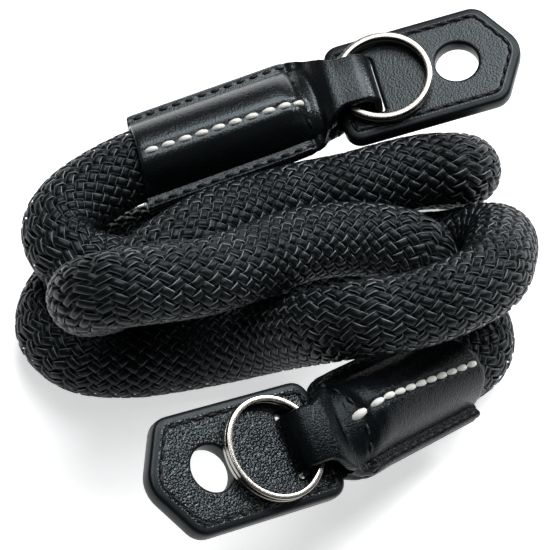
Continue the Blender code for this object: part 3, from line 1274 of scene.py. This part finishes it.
    def make_ring(self, material: bpy.types.Material) -> bpy.types.Object:
        """Build the split ring: one flat wire wound almost twice, lying on the pad.

        Args:
            material: The nickel.

        Returns:
            The piece.
        """
        place = self.tab_frame()
        centre = self.pad_from + self.ring * self.ring_d
        middle_r = (self.ring_d - self.wire_w) / 2
        low = self.pad_mid + self.pad_t / 2 + self.fit + self.wire_t / 2
        a = self.wire_w / 2
        b = self.wire_t / 2
        section = rounded_box((-a, -b), (a, b), self.wire_corner * self.wire_t, 4)
        steps = 220
        rings = []
        for k in range(steps + 1):
            wound = self.ring_turns * k / steps
            turn = 2 * pi * wound + pi
            climb = smooth_step((wound - self.ring_turns / 2) * self.climb_rate + 0.5)
            height = low + (self.wire_t + self.coil_gap) * climb
            rings.append([place @ Vector((centre + (middle_r + out) * cos(turn),
                                          (middle_r + out) * sin(turn), height + up))
                          for out, up in section])
        bm = bmesh.new()
        loft(bm, rings)
        return settle(finish_bmesh(f"{self.name}_split_ring", bm, material),
                      Slot.NICKEL, f"{self.name}_ring")

    def sleeve_row(self, path: Callable[[float], tuple[float, float]], length: float,
                   pitch: float, face: Face) -> list[Stitch]:
        """Set out a row of stitches on the sleeve's skin.

        Args:
            path: The row's places s and w, from a share of the row.
            length: The row's length.
            pitch: One stitch's length with its gap.
            face: Front or back.

        Returns:
            The stitches.
        """
        count = max(round(length / pitch), 1)
        near = 0.0002
        row = []
        for k in range(count):
            middle = (k + 0.5) / count
            reach = 0.3 / count
            before = self.on_surface(*path(middle - reach), face)
            along = (self.on_surface(*path(middle + reach), face) - before).normalized()
            s, w = path(middle)
            side = self.on_surface(s, w + near, face) - self.on_surface(s, w - near, face)
            if abs(side.normalized().dot(along)) > 0.9:  # the row itself runs across
                side = self.on_surface(s - near, w, face) - self.on_surface(s + near, w, face)
            up = along.cross(side).normalized()
            out = self.bent_frame(self.bend(s)).to_3x3() @ Vector((0, 0, face.value))
            row.append(Stitch(self.on_surface(s, w, face), along, up if up.dot(out) > 0 else -up))
        return row

    def sew_sleeve(self, white: bpy.types.Material, black: bpy.types.Material) -> None:
        """Sew the white row on the crest and the black rows along the edges and across.

        Args:
            white: The white thread.
            black: The black thread.
        """
        first = self.crest_start
        run = self.crest_end * self.sleeve_len - first
        stop = self.row_to * self.sleeve_len
        reach = self.half_w - 2.2 * self.row_inset
        crest = []
        edges = []
        for face in Face:
            row = self.sleeve_row(lambda t: (first + run * t, self.crest(first + run * t)),
                                  run, self.white_pitch, face)
            row[-1].share = self.knot
            crest += row
            for side in (-1.0, 1.0):
                edges += self.sleeve_row(
                    lambda t: (self.row_from + (stop - self.row_from) * t,
                               side * (self.half_width(stop * t) - self.row_inset)),
                    stop, self.black_pitch, face)
            edges += self.sleeve_row(
                lambda t: (self.cross_row * self.sleeve_len, reach * (2 * t - 1)),
                2 * reach, self.black_pitch, face)
        Sewing(f"{self.name}_white_stitches", self.white_len, self.white_t, crest).build(white)
        Sewing(f"{self.name}_black_stitches", self.black_len, self.black_t, edges).build(black)

    def sew_pad(self, black: bpy.types.Material) -> None:
        """Sew the black row round the pad's edge, on both faces.

        Args:
            black: The black thread.
        """
        place = self.tab_frame()
        turn = place.to_3x3()
        outline = inset_outline(evenly(self.pad_outline(), self.black_pitch), self.pad_row_inset)
        row = []
        for face in Face:
            n = self.pad_mid + face.value * (self.pad_t / 2 - self.pad_stitch_sink)
            for i, (s, w) in enumerate(outline):
                run = Vector(outline[(i + 1) % len(outline)]) - Vector(outline[i - 1])
                row.append(Stitch(place @ Vector((s, w, n)), turn @ Vector((*run, 0)).normalized(),
                                  turn @ Vector((0, 0, face.value))))
        Sewing(f"{self.name}_pad_stitches", self.black_len, self.pad_stitch_t, row).build(black)

    def build(self, finishes: "Finishes") -> None:
        """Build and dress the whole end.

        Args:
            finishes: The strap's materials.
        """
        self.make_sleeve(finishes.sleeve[self.name])
        self.make_tab(finishes.sleeve[self.name])
        self.make_pad(finishes.pad[self.name], finishes.rim)
        self.make_ring(finishes.nickel)
        self.sew_sleeve(finishes.white, finishes.black)
        self.sew_pad(finishes.black)


class Finishes:
    """The strap's materials, each made once."""

    def __init__(self) -> None:
        """Make them all."""
        self.nylon = NylonFinish().material()
        self.core = CoreFinish().material()
        self.rim = LeatherFinish("smooth leather", pebble=0.3, pebble_size=0.00036,
                                 relief=0.00002, roughness=0.34, gloss=0.22).material()
        self.sleeve = {
            "upper": LeatherFinish("soft leather", pebble=0.6, pebble_size=0.00026,
                                   relief=0.00004, roughness=0.25, gloss=0.42).material(),
            "lower": LeatherFinish("worn leather", pebble=0.8, pebble_size=0.00028,
                                   relief=0.00005, roughness=0.24, gloss=0.12).material()}
        self.pad = {
            "upper": LeatherFinish("fine grained leather", pebble=0.8, pebble_size=0.0003,
                                   relief=0.00004, roughness=0.32, gloss=0.46).material(),
            "lower": LeatherFinish("pebbled leather", pebble=1.0, pebble_size=0.00034,
                                   relief=0.0001, roughness=0.19, gloss=0.42).material()}
        self.white = ThreadFinish("white thread", dark=(0.6, 0.6, 0.575),
                                  light=(0.86, 0.86, 0.83)).material()
        self.black = ThreadFinish("black thread", dark=(0.0012, 0.0013, 0.0014),
                                  light=(0.004, 0.0042, 0.0045), roughness=0.5,
                                  gloss=0.3).material()
        self.nickel = NickelFinish().material()


# Where the rope runs: x as a share of COIL_HALF, y and z in rope diameters
ROUTE = (
    (-0.765, 1.365, 1.575), (-0.895, 0.98, 1.58), (-0.94, 0.575, 1.58), (-0.87, 0.2, 1.545),
    (-0.72, 0.11, 1.355), (-0.5, 0.245, 1.045), (-0.295, 0.42, 0.765), (-0.09, 0.58, 0.565),
    (0.145, 0.745, 0.5), (0.38, 0.91, 0.5), (0.59, 1.02, 0.5), (0.78, 1.035, 0.565),
    (0.92, 0.945, 0.875), (0.98, 0.62, 1.325), (0.96, 0.09, 1.81), (0.9, -0.475, 2.165),
    (0.745, -0.89, 2.365), (0.555, -1.155, 2.435), (0.38, -1.235, 2.41), (0.22, -1.135, 2.075),
    (0.02, -0.745, 1.18), (-0.22, -0.645, 0.675), (-0.44, -0.71, 0.535), (-0.645, -0.78, 0.51),
    (-0.855, -0.69, 0.5), (-0.98, -0.275, 0.5), (-0.945, 0.29, 0.5), (-0.79, 0.765, 0.5),
    (-0.6, 1.11, 0.5), (-0.41, 1.365, 0.5), (-0.205, 1.565, 0.5), (0.0, 1.735, 0.5),
    (0.205, 1.91, 0.5), (0.41, 2.09, 0.5), (0.66, 2.265, 0.5), (0.81, 2.18, 0.645),
    (0.86, 2.01, 0.975), (0.805, 1.825, 1.3), (0.66, 1.72, 1.42), (0.485, 1.58, 1.41),
    (0.32, 1.4, 1.425), (0.11, 1.21, 1.475), (-0.095, 0.92, 1.59), (-0.255, 0.565, 1.82),
    (-0.405, 0.09, 2.045), (-0.545, -0.355, 2.12), (-0.69, -0.725, 2.145), (-0.78, -1.02, 2.545),
    (-0.695, -1.2, 3.0), (-0.515, -1.12, 3.01), (-0.325, -0.9, 2.81), (-0.17, -0.575, 2.535),
    (-0.04, -0.22, 2.255), (0.12, 0.145, 1.99), (0.32, 0.4, 1.725), (0.51, 0.435, 1.58),
    (0.63, 0.355, 1.38), (0.675, 0.12, 1.035), (0.74, 0.01, 0.79), (0.82, -0.045, 0.635),
    (0.875, -0.235, 0.535), (0.89, -0.48, 0.5), (0.855, -0.735, 0.52),
)


@dataclass
class BraidedRope:
    """The rope: a dark core with sixteen strands each way, each over one and under one."""

    diameter: float = ROPE_D
    core_radius: float = 0.0049
    path_step: float = 0.001
    length: float = 0.464
    carriers: int = 16
    pitch: float = 0.040
    slant: float = 41.0
    strand_w: float = 0.00114
    strand_base: float = 0.00492
    lift: float = 0.00031
    crown: float = 0.00028
    tuck: float = 3.6
    steps_along: int = 1950
    steps_across: int = 4

    def line(self, upper: LeatherEnd, lower: LeatherEnd, step: float) -> list[Vector]:
        """The rope's centre line, from the upper sleeve to the lower one.

        Args:
            upper: The end that it starts in.
            lower: The end that it stops in.
            step: About how far apart its points are.

        Returns:
            Its points.
        """
        middle = [Vector((x * COIL_HALF, y * ROPE_D, z * ROPE_D)) + PLACE for x, y, z in ROUTE]
        through = upper.rope_ends() + middle + list(reversed(lower.rope_ends()))
        return curve_through(through, step)

    def make_curve(self, name: str, points: Sequence[Vector]) -> bpy.types.Object:
        """Make a bare curve through the points.

        Args:
            name: Its name.
            points: Its points.

        Returns:
            The curve object.
        """
        data = bpy.data.curves.new(name, "CURVE")
        data.dimensions = "3D"
        spline = data.splines.new("POLY")
        spline.points.add(len(points) - 1)
        for point, place in zip(spline.points, points):
            point.co = (*place, 1.0)
        return add_object(name, data)

    def tree(self) -> Nodes:
        """Build the tree that winds one set of strands round a path.

        Returns:
            The tree.
        """
        nodes = Nodes("braid", {
            "Path": "Object", "Hand": "Float", "Carriers": "Int", "Turns": "Float",
            "Width": "Float", "Slant": "Float", "Base": "Float", "Lift": "Float",
            "Crown": "Float", "Tuck": "Float", "Steps Along": "Int", "Steps Across": "Int",
            "Nylon": "Material"})
        path = nodes.node("GeometryNodeObjectInfo", {}, {"Object": nodes.given("Path")},
                          pick="Geometry")
        grid_sizes = [1.0, 1.0, nodes.given("Steps Along"), nodes.given("Steps Across")]
        ribbon = nodes.node("GeometryNodeMeshGrid", {}, grid_sizes)
        mapped = nodes.node("GeometryNodeStoreNamedAttribute",
                            {"data_type": "FLOAT2", "domain": "CORNER"},
                            {"Geometry": ribbon, "Name": "UVMap", "Value": ribbon.other("UV Map")})
        spots = nodes.node("GeometryNodeMeshLine", {}, {
            "Count": nodes.given("Carriers"), "Offset": (0.0, 0.0, 1.0)})
        wound = nodes.node("GeometryNodeInstanceOnPoints", {}, {"Points": spots,
                                                                "Instance": mapped})
        real = nodes.node("GeometryNodeRealizeInstances", {}, [wound])
        placed = nodes.node("GeometryNodeSetPosition", {}, {
            "Geometry": real, "Position": self.winding(nodes, path)})
        smooth = nodes.node("GeometryNodeSetShadeSmooth", {}, [placed])
        nodes.close(nodes.node("GeometryNodeSetMaterial", {}, {
            "Geometry": smooth, "Material": nodes.given("Nylon")}))
        return nodes

    @staticmethod
    def winding(nodes: Nodes, path: Value) -> Value:
        """Where each point of the strands goes: u along the path, v across the strand.

        Args:
            nodes: The tree.
            path: The rope's path.

        Returns:
            The position.
        """
        here = nodes.node("GeometryNodeInputPosition")
        x = nodes.node("ShaderNodeSeparateXYZ", {}, [here])
        carrier = x.other("Z")
        u = x + 0.5
        v = x.other("Y") * -2.0
        hand = nodes.given("Hand")
        turns = nodes.given("Turns")
        count = nodes.given("Carriers")
        base = nodes.given("Base")
        bias = 0.85  # how much closer together a strand's points lie at its edges
        reach = v * ((1 + bias) - v * v * bias) * nodes.given("Width") * 0.5
        slant = nodes.given("Slant")
        shift = reach * slant.maths("SINE") * hand * -1.0
        turn = (carrier / count + hand * turns * u) * (2 * pi)
        turn = turn + reach * slant.maths("COSINE") / base
        crossing = (count * turns * u * (2 * pi)).maths("COSINE")
        weave = (crossing * nodes.given("Tuck")).limited(-1.0, 1.0) * hand
        out = base + nodes.given("Lift") * weave + nodes.given("Crown") * (1.0 - v * v)
        spine = nodes.node("GeometryNodeSampleCurve", {"mode": "FACTOR"}, {
            "Curves": path, "Factor": u}, pick="Position")
        tangent = spine.other("Tangent")
        normal = spine.other("Normal")
        across = nodes.vector("CROSS_PRODUCT", tangent, normal)
        first = nodes.vector("SCALE", normal, out * turn.maths("COSINE"))
        second = nodes.vector("SCALE", across, out * turn.maths("SINE"))
        third = nodes.vector("SCALE", tangent, shift)
        return nodes.vector("ADD", nodes.vector("ADD", spine, third),
                            nodes.vector("ADD", first, second))

    def build(self, upper: LeatherEnd, lower: LeatherEnd, finishes: Finishes) -> None:
        """Args:
            upper: The end that it starts in.
            lower: The end that it stops in.
            finishes: The strap's materials.
        """
        points = self.line(upper, lower, self.path_step)
        path = self.make_curve("rope path", points)
        nodes = self.tree()
        for hand in Hand:
            host = add_object(f"{hand.name} host", bpy.data.meshes.new("host"))
            piece = nodes.run(host, f"rope_strands_{hand.name.lower()}", {
                "Path": path, "Hand": hand.value, "Carriers": self.carriers,
                "Turns": self.length / self.pitch, "Width": self.strand_w,
                "Slant": radians(self.slant), "Base": self.strand_base, "Lift": self.lift,
                "Crown": self.crown, "Tuck": self.tuck, "Steps Along": self.steps_along,
                "Steps Across": self.steps_across, "Nylon": finishes.nylon})
            settle(piece, Slot.ROPE)
        bpy.data.objects.remove(path)
        core = self.make_curve("rope_core", points)
        core.data.bevel_depth = self.core_radius
        core.data.bevel_resolution = 3
        core.data.use_fill_caps = True
        core.data.materials.append(finishes.core)
        settle(core, Slot.ROPE, "rope")


@dataclass
class Studio:
    """Camera, floor and soft lights."""

    elevation: float = 58.0
    distance: float = 0.345
    lens: float = 154.2
    sensor: float = 36.0
    nearest: float = 0.02
    aim: Point = (0.0, 0.0019, 0.01608)
    floor_half: float = 3.0
    sky: float = 0.07

    def build(self) -> None:
        """Set up the camera, the floor and the lights."""
        self.make_camera()
        self.make_floor()
        for light in LIGHTS:
            self.make_light(*light)
        world = bpy.data.worlds.new("studio air")
        bpy.context.scene.world = world
        world.use_nodes = True
        graph = Graph(world.node_tree)
        air = graph.node("ShaderNodeBackground", {}, {"Color": (1.0, 1.0, 1.0, 1.0),
                                                      "Strength": self.sky})
        graph.node("ShaderNodeOutputWorld", {}, [air])
        bpy.context.scene.view_settings.view_transform = "Standard"

    def make_camera(self) -> None:
        """Make the camera at the photograph's angle."""
        data = bpy.data.cameras.new("camera")
        data.lens = self.lens
        data.sensor_width = self.sensor
        data.clip_start = self.nearest
        camera = add_object("camera", data)
        rise = radians(self.elevation)
        back = Vector((0.0, -cos(rise), sin(rise)))
        camera.location = Vector(self.aim) + back * self.distance
        camera.rotation_euler = (-back).to_track_quat("-Z", "Y").to_euler()
        bpy.context.scene.camera = camera

    def make_floor(self) -> None:
        """Make the plain pale floor that the strap lies on."""
        half = self.floor_half
        mesh = bpy.data.meshes.new("floor")
        mesh.from_pydata([(-half, -half, 0), (half, -half, 0), (half, half, 0), (-half, half, 0)],
                         [], [(0, 1, 2, 3)])
        mesh.materials.append(FloorFinish().material())
        add_object("floor", mesh)

    def make_light(self, name: str, place: Point, size: float, power: float) -> None:
        """Make a square soft light that points at the strap.

        Args:
            name: Its name.
            place: Where it stands.
            size: The length of its side.
            power: Its power in watts.
        """
        data = bpy.data.lights.new(name, "AREA")
        data.size = size
        data.energy = power
        light = add_object(name, data)
        light.location = place
        way = Vector(self.aim) - Vector(place)
        light.rotation_euler = way.to_track_quat("-Z", "Y").to_euler()


def main() -> None:
    """Build the studio, the rope and both leather ends, in that order."""
    logging.basicConfig(level=logging.INFO, format="%(name)s: %(message)s")
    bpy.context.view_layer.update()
    Studio().build()
    finishes = Finishes()
    upper = LeatherEnd("upper", mouth=(-0.575, 1.725, 1.58), heading=22.3, pitch=2.0, roll=9.0,
                       tab=1.0, pad_heading=13.5, pad_pitch=8.5, pad_roll=5.0, ring=0.527,
                       slant=0.0024, crest_from=-0.00135, crest_to=-0.0019,
                       crest_start=0.0007, crest_end=0.975)
    lower = LeatherEnd("lower", mouth=(0.74, -1.08, 0.665), heading=224.0, pitch=29.0, roll=16.0,
                       tab=0.76, pad_heading=210.5, pad_pitch=23.0, pad_roll=18.0, ring=0.66,
                       wire_w=0.00082, wire_t=0.00074, knot=1.35, crest_from=0.0019,
                       crest_start=0.0009, crest_end=1.0, white_len=0.0024)
    BraidedRope().build(upper, lower, finishes)
    for end in (upper, lower):
        end.build(finishes)


if __name__ == "__main__":
    main()
